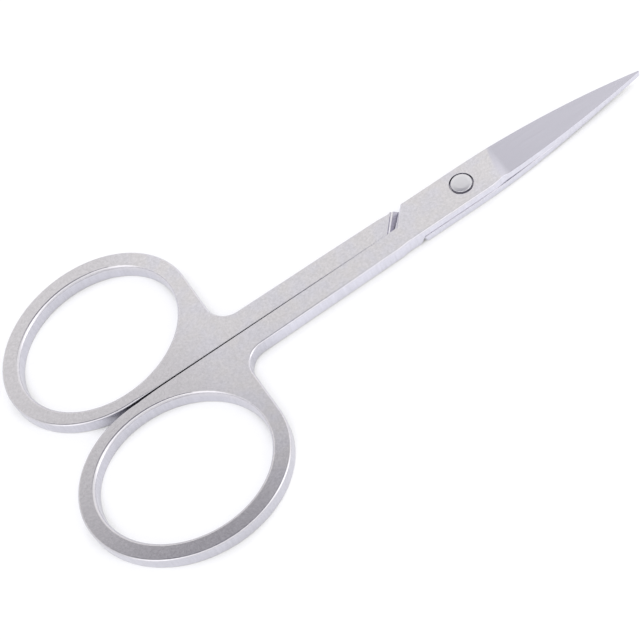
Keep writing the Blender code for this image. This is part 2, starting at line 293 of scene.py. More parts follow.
class Plan:
    """The plan and the heights of one half."""

    bow_power = 1.7
    edge_power = 2.3
    # The outline's steps shorten towards the tip, where it bends into its radius, by this power.
    tip_power = 1.3
    # The hollow is whole after the length of the blade over this number.
    hollow_rise = 2.4
    # The wheel's circle ends at this sine, and a ramp is never shorter than this.
    largest_sine = 0.99
    shortest_ramp = 0.00001

    def __init__(self, sizes, fine, upper, bore_y):
        self.s = sizes
        self.fine = fine
        self.upper = upper
        self.heel = sizes.upper_heel if upper else sizes.lower_heel
        self.mouth = sizes.upper_mouth if upper else sizes.lower_mouth
        self.slant = 1 / math.tan(sizes.notch_angle)
        self.mouth_slant = 1 / math.tan(sizes.mouth_angle)
        self.split = (sizes.split_rise if upper else -sizes.split_rise) - sizes.notch_split / 2
        self.bow = sizes.upper_bow if upper else sizes.lower_bow
        self.bore_y = bore_y
        self.lap = (sizes.plate + sizes.lap_gap) / 2
        self.margin = sizes.edge + fine.edge_margin
        self.curve_end = sizes.blade - sizes.tip
        self.tilt = sizes.ring_tilt
        self.hole = (sizes.hole_length / 2, sizes.hole_width / 2)
        self.ring = (self.hole[0] + sizes.end_band, self.hole[1] + sizes.side_band)
        reach = math.hypot(self.ring[0] * math.sin(self.tilt), self.ring[1] * math.cos(self.tilt))
        self.ring_reach = math.hypot(
            self.ring[0] * math.cos(self.tilt), self.ring[1] * math.sin(self.tilt)
        )
        self.centre = (-sizes.ring_distance, -sizes.ring_split / 2 - reach)
        # The ramp's borders: where each crosses the long axis, its slant, and the ramp's height there.
        foot = sizes.upper_foot if upper else sizes.lower_foot
        self.ramp = (
            (-self.mouth, self.mouth_slant, 0.0),
            (sizes.step_run - self.mouth, self.mouth_slant, sizes.step_fall),
            (sizes.ledge_run - self.mouth, self.mouth_slant, sizes.ledge_fall),
            (-foot, self.slant, self.lap),
        )
        self.set_grind()

    def set_grind(self):
        """The ground face is a plane: it meets the outer face at the spine where the grind starts, is
        the edge's thickness over the lap at the cutting edge there, and the tip's thickness at the tip."""
        s = self.s
        spine = self.back(s.grind_start)
        edge = self.front(s.grind_start)
        self.cross = (s.plate - self.lap - s.edge_thick) / (spine - edge)
        self.middle = s.plate - self.cross * spine
        self.slope = (self.middle - self.lap - s.tip_thick) / (s.blade - s.grind_start)

    def back(self, x):
        """The spine's y at x: a parabola that ends in the tip's radius, and a bow, which is half a sine
        of the 1.7th power of the part of the blade's length."""
        s = self.s
        part = np.clip(x / self.curve_end, 0, 1)
        bow = self.bow * np.sin(math.pi * part**self.bow_power)
        return s.tip + (s.spine - s.tip) * (1 - part**2) + bow

    def front(self, x):
        """The cutting edge's y at x: a bowed curve of power 2.3, blended into the straight root."""
        s = self.s
        part = np.clip(x / self.curve_end, 0, 1)
        bow = s.edge_bow * np.sin(math.pi * part**self.bow_power)
        curve = s.tip + (s.cutting - s.tip) * (1 - part**self.edge_power) - bow
        blend = smooth_step((x - s.root_end) / s.root_step)
        return -(s.root + (curve - s.root) * blend)

    def wheel_line(self, y):
        """X of the ground face's border at y, where the wheel's circle comes up to the outer face."""
        s = self.s
        tilt = math.atan(self.slope)
        rise = s.plate - self.cross * y - self.middle
        cosine = math.cos(tilt) - np.maximum(rise, 0) / s.wheel
        return s.grind_start - s.wheel * (np.sqrt(1 - cosine**2) - math.sin(tilt))

    def top(self, x, y):
        """Height of the outer face: the plate's, or the grind's where that is lower. The grind is its
        plane, and before its start the wheel's circle that touches the plane there."""
        s = self.s
        tilt = math.atan(self.slope)
        sine = (s.grind_start - x) / s.wheel + math.sin(tilt)
        sine = np.clip(sine, -self.largest_sine, self.largest_sine)
        circle = s.wheel * (math.cos(tilt) - np.sqrt(1 - sine**2))
        plane = -self.slope * (x - s.grind_start)
        ground = self.cross * y + self.middle + np.where(x < s.grind_start, circle, plane)
        return np.where(x > 0, np.minimum(s.plate, ground), s.plate)

    def bottom(self, x, y):
        """Height of the inner face: 0 under ring and shank, then a ramp along the slanted notch with a
        steep step and a ledge at its mouth, then the lap with its hollow. The hollow is a parabola
        across the blade that fades in along it as a sine and shrinks with the blade's width."""
        s = self.s
        past = [x + y * slant - border for border, slant, _ in self.ramp]
        heights = [height for _, _, height in self.ramp]
        ramp = 0.0
        for i in range(len(past) - 1):
            share = np.clip(past[i] / np.maximum(past[i] - past[i + 1], self.shortest_ramp), 0, 1)
            ramp = ramp + (heights[i + 1] - heights[i]) * share
        back, front = self.back(x), self.front(x)
        across = np.clip((2 * y - back - front) / (back - front), -1, 1)
        run = np.clip((x - s.hollow_start) / (s.blade - s.hollow_start), 0, 1)
        fade = np.sin(math.pi / 2 * np.clip(run * self.hollow_rise, 0, 1))
        hollow = s.hollow_depth * (1 - across**2) * fade * (back - front) / (2 * s.spine)
        return ramp + hollow

    def outline(self):
        """The stamping's outline, counterclockwise from the tip along the spine."""
        s, fine = self.s, self.fine
        x = self.curve_end * (1 - np.linspace(0, 1, fine.blade + 1) ** self.tip_power)
        spine = np.stack([x, self.back(x)], axis=-1)
        heel_top = (-self.heel + s.spine * self.slant, s.spine)
        heel_foot = (-self.heel + self.split * self.slant, self.split)
        first = math.atan2(
            self.ring[1] * math.cos(self.tilt), -self.ring[0] * math.sin(self.tilt)
        )
        last = math.atan2(self.ring[1] * math.sin(self.tilt), self.ring[0] * math.cos(self.tilt))
        sweep = (last - first) % (2 * math.pi)
        turns = first + sweep * np.linspace(0, 1, round(fine.ring * sweep / (2 * math.pi)) + 1)
        ring = ellipse(self.centre, *self.ring, self.tilt, turns)
        neck = (self.centre[0] + self.ring_reach, -s.shank_at_ring)
        shank_end = (-s.lower_mouth, -s.shank_at_notch)
        root_start = (-self.heel, -s.root)
        heel_arc = corner(spine[-1], heel_top, heel_foot, s.heel_round, fine.corner)
        bend = (-self.heel - s.split_bend, -s.notch_split / 2)
        middle = ((ring[0, 0] - self.heel) / 2, -s.middle_split / 2)
        shank_start = (ring[0, 0] + s.shank_start, -s.shank_split / 2)
        foot_arc = corner(heel_top, heel_foot, bend, s.heel_round, fine.corner)
        neck_arc = corner(ring[-1], neck, shank_end, s.neck, 4 * fine.corner)
        x = np.linspace(-self.heel, s.root_end, fine.root)[1:]
        root = np.stack([x, np.full_like(x, -s.root)], axis=-1)
        split_line = self.with_ramp(np.array([foot_arc[-1], bend, middle, shank_start, ring[0]]))
        outer_line = self.with_ramp(np.array([shank_end, root_start, root[-1]]))
        part = 1 - (1 - np.linspace(0, 1, fine.blade)[1:]) ** self.tip_power
        x = s.root_end + (self.curve_end - s.root_end) * part
        cutting = np.stack([x, self.front(x)], axis=-1)
        turns = np.linspace(-s.tip_turn, s.tip_turn, 2 * fine.corner + 1)[1:-1]
        tip = s.tip * np.stack([np.cos(turns), np.sin(turns)], axis=-1)
        tip[:, 0] += self.curve_end - s.tip * math.cos(s.tip_turn)
        return np.concatenate(
            [
                spine,
                between(spine[-1], heel_arc[0], fine.side_gap),
                heel_arc,
                between(heel_arc[-1], foot_arc[0], fine.heel_gap),
                foot_arc,
                split_line[1:-1],
                ring,
                between(ring[-1], neck_arc[0], fine.side_gap),
                neck_arc,
                between(neck_arc[-1], shank_end, fine.side_gap),
                outer_line,
                cutting,
                tip,
            ]
        )

    def with_ramp(self, corners):
        """A line through these corners with evenly spaced points, and with three points close together
        wherever one of the ramp's borders crosses it."""
        beside, clear = 0.00003, 0.00005
        reach = np.concatenate([[0], np.cumsum(np.linalg.norm(np.diff(corners, axis=0), axis=1))])
        count = max(2, round(reach[-1] / self.fine.line_gap))
        at = np.concatenate([reach, np.linspace(0, reach[-1], count)])
        crossings = []
        for border, slant, _ in self.ramp:
            along = corners @ (1, slant)
            for i in range(len(corners) - 1):
                part = (border - along[i]) / (along[i + 1] - along[i])
                if 0 < part < 1:
                    crossings.append(reach[i] + part * (reach[i + 1] - reach[i]))
        if crossings:
            crossings = np.array(crossings)
            at = at[np.abs(at[:, None] - crossings).min(axis=1) > clear]
            near = crossings[:, None] + (-beside, 0, beside)
            at = np.concatenate([at, near.reshape(-1)])
        at = np.unique(at)
        return np.stack([np.interp(at, reach, corners[:, i]) for i in (0, 1)], axis=-1)

    def finger_hole(self):
        """The finger hole, clockwise, and the depth of its upper rim's rounding: deepest in one direction,
        and falling off from there with the fourth power of the cosine of the turn between the two."""
        turns = -np.linspace(0, 2 * math.pi, self.fine.ring, endpoint=False)
        centre = (self.centre[0], self.centre[1] + self.s.hole_shift)
        points = ellipse(centre, *self.hole, self.tilt, turns)
        deepest = self.s.rim_turn if self.upper else -self.s.rim_turn
        cosine = unit(points - centre) @ (math.cos(deepest), math.sin(deepest))
        drop = self.s.hole_rim + (self.s.hole_drop - self.s.hole_rim) * np.maximum(cosine, 0) ** 4
        return points, drop


def outward(points):
    """Unit normals to the right of a closed path and how far a mitre reaches along each: the mean of
    the two neighbouring sides' normals, and one over the cosine of half the turn between them."""
    least_cosine = 0.6
    ahead = unit(np.roll(points, -1, 0) - points)
    behind = np.roll(ahead, 1, 0)
    middle = unit(ahead + behind)
    reach = 1 / np.maximum((middle * ahead).sum(-1), least_cosine)
    return np.stack([middle[:, 1], -middle[:, 0]], axis=-1), reach


class Shell:
    """Points, faces and three shares (wall, ground face, and painted shade with some grime), gathered from
    grids and flat fills and then welded.
    """

    # Points in one cell of this grid, which has this many to a metre, are welded.
    weld_cells = 1e7
    sharp_turn = math.radians(28)
    # The triangulation works in millimetres, so that its tolerance is far below any side.
    fill_scale = 1000
    fill_tolerance = 1e-6

    def __init__(self):
        self.points = []
        self.wall = []
        self.ground = []
        self.grime = []
        self.quads = []
        self.triangles = []
        self.count = 0

    def add(self, points, wall, ground, grime=0.0):
        """Adds points with their shares of wall, ground face and painted shade with some grime, and
        returns the first one's index.
        """
        points = points.reshape(-1, 3)
        start = self.count
        self.points.append(points)
        self.wall.append(np.broadcast_to(wall, len(points)))
        self.ground.append(np.broadcast_to(ground, len(points)))
        self.grime.append(np.broadcast_to(grime, len(points)))
        self.count += len(points)
        return start

    def grid(self, rows, wall, ground, grime=None):
        """Quads of a grid that is closed along its second direction."""
        high, wide = rows.shape[:2]
        grime = 0.0 if grime is None else grime.reshape(-1)
        start = self.add(rows, wall.reshape(-1), ground.reshape(-1), grime)
        index = start + np.arange(high * wide).reshape(high, wide)
        near, far = index, np.roll(index, -1, 1)
        quads = np.stack([near[:-1], near[1:], far[1:], far[:-1]], axis=-1).reshape(-1, 4)
        self.quads.append(quads)

    def fill(self, loops, extra, lines, height, ground, up, grime=None):
        """Triangles between closed loops, which bring their own heights, through extra points and along
        open lines, which are lifted to the height of the face."""
        plan, edges, start = [], [], 0
        for points in [loop[:, :2] for loop in loops] + lines:
            index = start + np.arange(len(points))
            closed = start < sum(len(loop) for loop in loops)
            ahead = np.roll(index, -1)
            edges.append(np.stack([index, ahead], axis=-1)[: None if closed else -1])
            plan.append(points)
            start += len(points)
        plan = np.concatenate([*plan, extra])
        flat, _, faces, origin, *_ = delaunay_2d_cdt(
            (plan * self.fill_scale).tolist(), np.concatenate(edges).tolist(), [], 1, self.fill_tolerance
        )
        faces = np.array(faces)
        points = np.array([(*point, 0) for point in flat]) / self.fill_scale
        first = np.array([min(inputs) if inputs else -1 for inputs in origin])
        known = first >= 0
        points[known, :2] = plan[first[known]]
        points[:, 2] = height(points[:, 0], points[:, 1])
        heights = np.concatenate([loop[:, 2] for loop in loops])
        on_loop = known & (first < len(heights))
        points[on_loop, 2] = heights[first[on_loop]]
        # A triangle with all its corners on one hole's loop lies in that hole.
        start = len(loops[0])
        for hole in loops[1:]:
            in_hole = (first[faces] >= start) & (first[faces] < start + len(hole))
            faces = faces[~in_hole.all(axis=1)]
            start += len(hole)
        a, b, c = (points[faces[:, i]] for i in range(3))
        turn = (b[:, 0] - a[:, 0]) * (c[:, 1] - a[:, 1]) - (b[:, 1] - a[:, 1]) * (c[:, 0] - a[:, 0])
        wrong = (turn < 0) == up
        faces[wrong] = faces[wrong][:, ::-1]
        # Each point's share of painted shade with some grime, if the face has any.
        shade_and_dirt = grime(points[:, 0], points[:, 1]) if grime else 0.0
        start = self.add(points, 0.0, ground(points[:, 0], points[:, 1]), shade_and_dirt)
        self.triangles.append(faces + start)

    def mesh(self, name, move, turn=(1, 1, 1)):
        """The welded mesh, its coordinates multiplied by turn and then moved."""
        points = np.concatenate(self.points)
        cells = np.round(points * self.weld_cells).astype(np.int64)
        _, first, index = np.unique(cells, axis=0, return_index=True, return_inverse=True)
        index = index.reshape(-1)
        quads = index[np.concatenate(self.quads)]
        faces = [quads] + [index[t] for t in self.triangles]
        mesh = bpy.data.meshes.new(name)
        sizes = np.concatenate([np.full(len(f), f.shape[1]) for f in faces])
        corners = np.concatenate([f.reshape(-1) for f in faces])
        mesh.vertices.add(len(first))
        mesh.loops.add(len(corners))
        mesh.polygons.add(len(sizes))
        points = points[first] * turn + move
        mesh.vertices.foreach_set("co", points.astype(np.float32).reshape(-1))
        mesh.loops.foreach_set("vertex_index", corners.astype(np.int32))
        starts = np.concatenate([[0], np.cumsum(sizes)[:-1]])
        mesh.polygons.foreach_set("loop_start", starts.astype(np.int32))
        mesh.update(calc_edges=True)
        for kind, values in (("wall", self.wall), ("ground", self.ground), ("grime", self.grime)):
            layer = mesh.attributes.new(kind, "FLOAT", "POINT")
            layer.data.foreach_set("value", np.concatenate(values)[first].astype(np.float32))
        mesh.validate()
        mesh.shade_smooth()
        mesh.set_sharp_from_angle(angle=self.sharp_turn)
        return mesh


def rounded_wall(path, plan, top_edge, bottom_edge, shift=None):
    """A wall with both edges rounded, carried along a closed path. Across it the profile is a flat
    hold, a quarter turn down from the outer face, the straight wall, and a quarter turn to the inner
    face. An edge is its reach over the face, its drop down the wall and its bevel share: a point of the
    quarter turn is reach and drop times the sine and cosine of its angle, both raised to one plus the
    bevel share, so that 0 gives an ellipse and 1 a flat bevel. The shift moves a point aside by its
    height, which leans the wall. Returns the points as rows of the path, and how much of each is wall."""
    hold = 0.00003
    wall_shares = (0.03, 0.35, 0.65, 0.97)
    normals, mitre = outward(path)

    def row(amount, z):
        flat = path - normals * (mitre * amount)[:, None] + (shift(z) if shift else 0.0)
        return np.concatenate([flat, np.broadcast_to(z, len(flat))[:, None]], axis=-1)

    bottom = plan.bottom(path[:, 0], path[:, 1])
    guess = row(top_edge[0], plan.top(path[:, 0], path[:, 1]))
    seat = row(top_edge[0], plan.top(guess[:, 0], guess[:, 1]))
    top = plan.top(seat[:, 0], seat[:, 1])
    turns = np.linspace(0, math.pi / 2, plan.fine.edge + 1)

    def quarter(edge, face, sign):
        reach, drop, bevel = edge
        for turn in turns:
            z = face - sign * drop * (1 - math.cos(turn) ** (1 + bevel))
            yield row(reach * (1 - math.sin(turn) ** (1 + bevel)), z), turn / turns[-1]

    held = row(top_edge[0] + hold, top)
    held[:, 2] = plan.top(held[:, 0], held[:, 1])
    rows = [(held, 0.0), *quarter(top_edge, top, 1)]
    high, low = top - top_edge[1], bottom + bottom_edge[1]
    rows += [(row(0.0, high + (low - high) * part), 1.0) for part in wall_shares]
    rows += [*quarter(bottom_edge, bottom, -1)][::-1]
    rows.append((row(bottom_edge[0] + hold, bottom), 0.0))
    walls = np.array([wall for _, wall in rows])
    return np.array([points for points, _ in rows]), walls[:, None] * np.ones(len(path))


def turned(profile, count, centre=(0.0, 0.0)):
    """A turned surface: every point of a profile, a radius and a height, carried around a centre."""
    turns = -np.linspace(0, 2 * math.pi, count, endpoint=False)
    circle = np.stack([np.cos(turns), np.sin(turns)], axis=-1)
    radii, heights = np.array(profile).T
    rows = np.empty((len(radii), count, 3))
    rows[:, :, :2] = radii[:, None, None] * circle + centre
    rows[:, :, 2] = heights[:, None]
    return rows


def outline_edges(plan, x, y):
    """The edges of a wall along the outline, upper and lower, for rounded_wall, and the shift that
    leans it at the cutting edge and the heel."""
    s = plan.s
    heel_corner = plan.back(0.0) * plan.slant - plan.heel
    cutting = (y < 0) & (x > s.root_end)
    split = (np.abs(y) < s.ring_split) & (x < -plan.heel) & (x > -s.ring_distance)
    on_heel = (x < heel_corner) & (y > plan.split - TINY)
    on_spine = (y > 0) & (x > heel_corner)
    on_lap = smooth_step((x + y * plan.mouth_slant + plan.mouth) / s.lap_run + 1)
    on_ground = smooth_step((x - plan.wheel_line(y)) / s.ground_run + 1)
    fade = smooth_step((x + s.fade_start) / (s.fade_start - s.fade_end))
    thin = plan.top(x, y) - plan.lap

    edge = s.edge + (s.shank_edge - s.edge) * fade
    upper = np.minimum(edge, s.thin_share * thin)
    lower = edge + (s.inner_edge - edge) * on_lap
    # The split edges are filed nearly sharp.
    filed = s.split_edge + (s.edge - s.split_edge) * smooth_step((-x - s.filed_start) / s.filed_run)
    upper = np.where(split, np.minimum(filed, upper), upper)
    lower = np.where(split, np.minimum(filed, lower), lower)
    # The outer edge of shank and lap has a flat bevel, which the grind ends.
    bevel = np.where(y < -s.shank_split, fade, 0.0)
    lower_bevel = bevel * (1 - on_lap)
    upper = upper + (s.bevel - upper) * bevel
    upper = np.where(cutting, upper + (s.inner_edge - upper) * on_ground, upper)
    upper = np.where(on_heel & plan.upper, s.heel_edge, upper)
    lower = np.where(on_spine, np.minimum(s.spine_edge, thin / 2), lower)
    lower = lower + (s.bevel - lower) * lower_bevel

    past_root = smooth_step((x - s.root_end) / s.root_step) * (1 - (x / plan.curve_end) ** 3)
    lean = math.tan(s.edge_lean) * np.where(cutting, past_root, 0.0)
    # The heel leans all along its end wall, and the lean fades over the next stretch of the split.
    heel_lean = np.where(split, np.clip(1 + (x + plan.heel) / s.lean_run, 0, 1), on_heel * 1.0)
    heel_lean = math.tan(s.heel_lean) * heel_lean

    def shift(z):
        return np.stack([heel_lean * (z - s.plate), lean * (z - plan.lap)], axis=-1)

    more = s.bevel_share - s.ring_share
    upper_edge = (upper, upper, s.ring_share + more * bevel)
    lower_edge = (lower, lower, s.ring_share + more * lower_bevel)
    return upper_edge, lower_edge, shift


def bore_rows(plan, rivet):
    """The counterbore and the pin's bore below it, turned around the rivet's axis. Returns the points, how
    much of each is wall, and its share of painted shade with some grime."""
    head = rivet.bore / 2
    pin = rivet.pin / 2 + rivet.pin_gap
    top, lap = plan.s.plate, plan.lap
    floor = top - rivet.thick - rivet.seat_gap
    small, middle_share = plan.s.inner_edge, 0.3
    # The middle of the rounded edge lies this far from the two lines that it joins.
    part = middle_share * small
    # Each point: its radius, its height, whether it is wall, and whether painted shade with some grime
    # lies on it.
    profile = np.array(
        [
            (head + 2 * small, top, 0, 0),
            (head + small, top, 0, 0),
            (head + part, top - part, 1, 0),
            (head, top - small, 1, 0),
            (head, floor + small, 1, 1),
            (head, floor, 1, 1),
            (head - small, floor, 0, 1),
            (pin + small, floor, 0, 1),
            (pin, floor, 1, 1),
            (pin, floor - small, 1, 1),
            (pin, lap + small, 1, 1),
            (pin + part, lap + part, 1, 1),
            (pin + small, lap, 0, 1),
            (pin + 2 * small, lap, 0, 1),
        ]
    )
    rows = turned(profile[:, :2], plan.fine.bore, (0, plan.bore_y))
    wall, grime = (profile[:, column, None] * np.ones(plan.fine.bore) for column in (2, 3))
    return rows, wall, grime * rivet.grime


def rows_across(plan, x):
    """Points in a row across the blade at each x, evenly spaced between its margins."""
    part = np.linspace(-1, 1, plan.fine.across)[1:-1]
    x, part = (grid.reshape(-1) for grid in np.meshgrid(x, part))
    back, front = plan.back(x) - plan.margin, plan.front(x) + plan.margin
    return np.stack([x, (back + front) / 2 + (back - front) / 2 * part], axis=-1)


def half_mesh(name, plan, rivet, move, turn):
    """One stamped half: rounded walls around the outline and the finger hole, the turned bore, and the
    outer and inner faces filled between them."""
    s, fine = plan.s, plan.fine
    # A face counts as lap from the first share of the lap's height, and as ramp up to the second.
    lap_share, ramp_share = 0.98, 0.999
    # The ground face's border crosses the blade at this share of the way to the grind's start, and
    # points keep this many of its widths from it.
    border_share, clear_widths = 0.8, 1.5
    # Past this y the outline has left the split and climbs the heel.
    heel_side = 1.5 * s.split_rise

    def ground_top(x, y):
        return smooth_step((x - plan.wheel_line(y)) / s.ground_border + 0.5) * (x > 0)

    def ground_bottom(x, y):
        return (plan.bottom(x, y) > plan.lap * lap_share).astype(float)

    # Painted shade, with some oil and dirt, darkens the ramps in the notch.
    def ramp_grime(x, y):
        height = plan.bottom(x, y)
        return np.where((height > TINY) & (height < plan.lap * ramp_share), s.ramp_grime, 0.0)

    shell = Shell()
    outline = plan.outline()
    x, y = outline[:, 0], outline[:, 1]
    rows, wall = rounded_wall(outline, plan, *outline_edges(plan, x, y))
    middle = np.minimum((s.plate + plan.lap) / 2, (plan.top(x, y) + plan.lap) / 2)
    points = rows[:, :, 0], rows[:, :, 1]
    ground = np.where(rows[:, :, 2] > middle, ground_top(*points), ground_bottom(*points))
    shell.grid(rows, wall, ground)
    top_loops, bottom_loops = [rows[0]], [rows[-1]]

    hole, drop = plan.finger_hole()
    rim = (np.full(len(hole), s.hole_rim), drop, s.ring_share)
    under_rim = (np.full(len(hole), s.hole_under_rim), s.hole_under_rim, 0.0)
    rims = (rim, under_rim) if plan.upper else (under_rim, rim)
    rows, wall = rounded_wall(hole, plan, *rims)
    shell.grid(rows, wall, np.zeros_like(wall))
    top_loops.append(rows[0])
    bottom_loops.append(rows[-1])

    rows, wall, grime = bore_rows(plan, rivet)
    shell.grid(rows, wall, np.zeros_like(wall), grime)
    top_loops.append(rows[0])
    bottom_loops.append(rows[-1])

    # Rows of points lie on the ground face, closest where the wheel's curve runs out, and a line
    # follows its border on either side.
    run_out = plan.wheel_line(np.array([plan.back(s.grind_start), plan.front(s.grind_start)])).min()
    curve = np.linspace(run_out, s.grind_start + fine.row_gap, fine.wheel)
    flat = np.linspace(s.grind_start + 2 * fine.row_gap, s.blade - fine.tip_margin, fine.grind)
    extra = rows_across(plan, np.concatenate([curve, flat]))
    extra = extra[extra[:, 0] - plan.wheel_line(extra[:, 1]) > clear_widths * s.ground_border]
    at = border_share * s.grind_start
    y = np.linspace(plan.front(at) + plan.margin, plan.back(at) - plan.margin, fine.border)
    half = s.ground_border / 2
    lines = [np.stack([plan.wheel_line(y) + side, y], axis=-1) for side in (-half, half)]
    shell.fill(top_loops, extra, lines, plan.top, ground_top, True)

    # The ramp's straight borders run from one point of the outline to another, and rows of points
    # lie on the hollow.
    lines = []
    for border, slant, _ in plan.ramp:
        on_border = np.abs(outline @ (1, slant) - border) < ON_LINE
        ends = np.flatnonzero(on_border & (outline[:, 1] < heel_side))
        lines.append(bottom_loops[0][ends, :2])
    extra = rows_across(plan, np.linspace(s.hollow_start, s.blade - fine.tip_margin, fine.hollow))
    shell.fill(bottom_loops, extra, lines, plan.bottom, ground_bottom, False, ramp_grime)
    return shell.mesh(name, move, turn)


def rivet_mesh(name, sizes, rivet, fine, move):
    """The rivet, turned from a profile of radius over height: tail, pin, head, a bevel and a dome whose
    height falls off with the square of the radius. The head sits off the pin by its offset."""
    head, pin = rivet.head / 2, rivet.pin / 2
    thick, shoulder, step = rivet.thick, sizes.plate, rivet.recess
    seat = shoulder - thick
    rim = head - rivet.rim
    turn = np.linspace(0, math.pi / 2, fine.corner + 1)
    across, along = rivet.rim * np.sin(turn), rivet.rim * (1 - np.cos(turn))
    tail = np.stack([rim + across, step + along], axis=-1)
    across, along = rivet.rim * np.cos(turn[:-1]), rivet.rim * np.sin(turn[:-1])
    turned_rim = np.stack([rim + across, shoulder - rivet.rim + along], axis=-1)
    part = np.linspace(1, 0, 6 * fine.corner)[:-1]
    bevel = rim * math.tan(rivet.bevel) * np.minimum(1 - part, 1 - rivet.flat)
    dome = np.stack([rim * part, shoulder + bevel + rivet.crown * (1 - part**2)], axis=-1)
    profile = np.concatenate(
        [
            [(rim / 2, step)],
            tail,
            [(head, thick - step), (head, thick), (head - step, thick)],
            [(pin + step, thick), (pin, thick), (pin, thick + step)],
            [(pin, seat - step), (pin, seat), (pin + step, seat)],
            [(head - step, seat), (head, seat), (head, seat + step)],
            turned_rim,
            dome,
        ]
    )
    heights = profile[:, 1]
    rows = turned(profile, fine.bore)
    offset = np.array([rivet.head_x, rivet.head_y])
    rows[heights > seat - step, :, :2] += offset
    none = np.zeros(rows.shape[:2])
    # Painted shade, with some grime: the head's side darkens downwards from its rim into the bore.
    grime = np.clip((shoulder - rivet.rim - heights) / rivet.grime_depth, 0, rivet.grime)
    shell = Shell()
    shell.grid(rows, none, none, grime[:, None] * np.ones(fine.bore))
    for end, centre in ((0, (0, 0, step)), (-1, (*offset, bevel.max() + shoulder + rivet.crown))):
        middle = shell.add(np.array([centre], float), 0.0, 0.0)
        index = shell.add(rows[end], 0.0, 0.0) + np.arange(fine.bore)
        fan = np.stack([np.full(fine.bore, middle), index, np.roll(index, -1)], axis=-1)
        shell.triangles.append(fan if end == 0 else fan[:, ::-1])
    return shell.mesh(name, move)


def add_node(tree, kind, inputs=(), **settings):
    """A node with its settings, and its inputs set or linked by name or number."""
    node = tree.nodes.new(kind)
    for key, value in settings.items():
        setattr(node, key, value)
    for key, value in dict(inputs).items():
        if isinstance(value, bpy.types.NodeSocket):
            tree.links.new(value, node.inputs[key])
        else:
            node.inputs[key].default_value = value
    return node


def empty_material(name):
    """A new material and its node tree, with nothing in it."""
    material = bpy.data.materials.new(name)
    material.use_nodes = True
    material.node_tree.nodes.clear()
    return material, material.node_tree


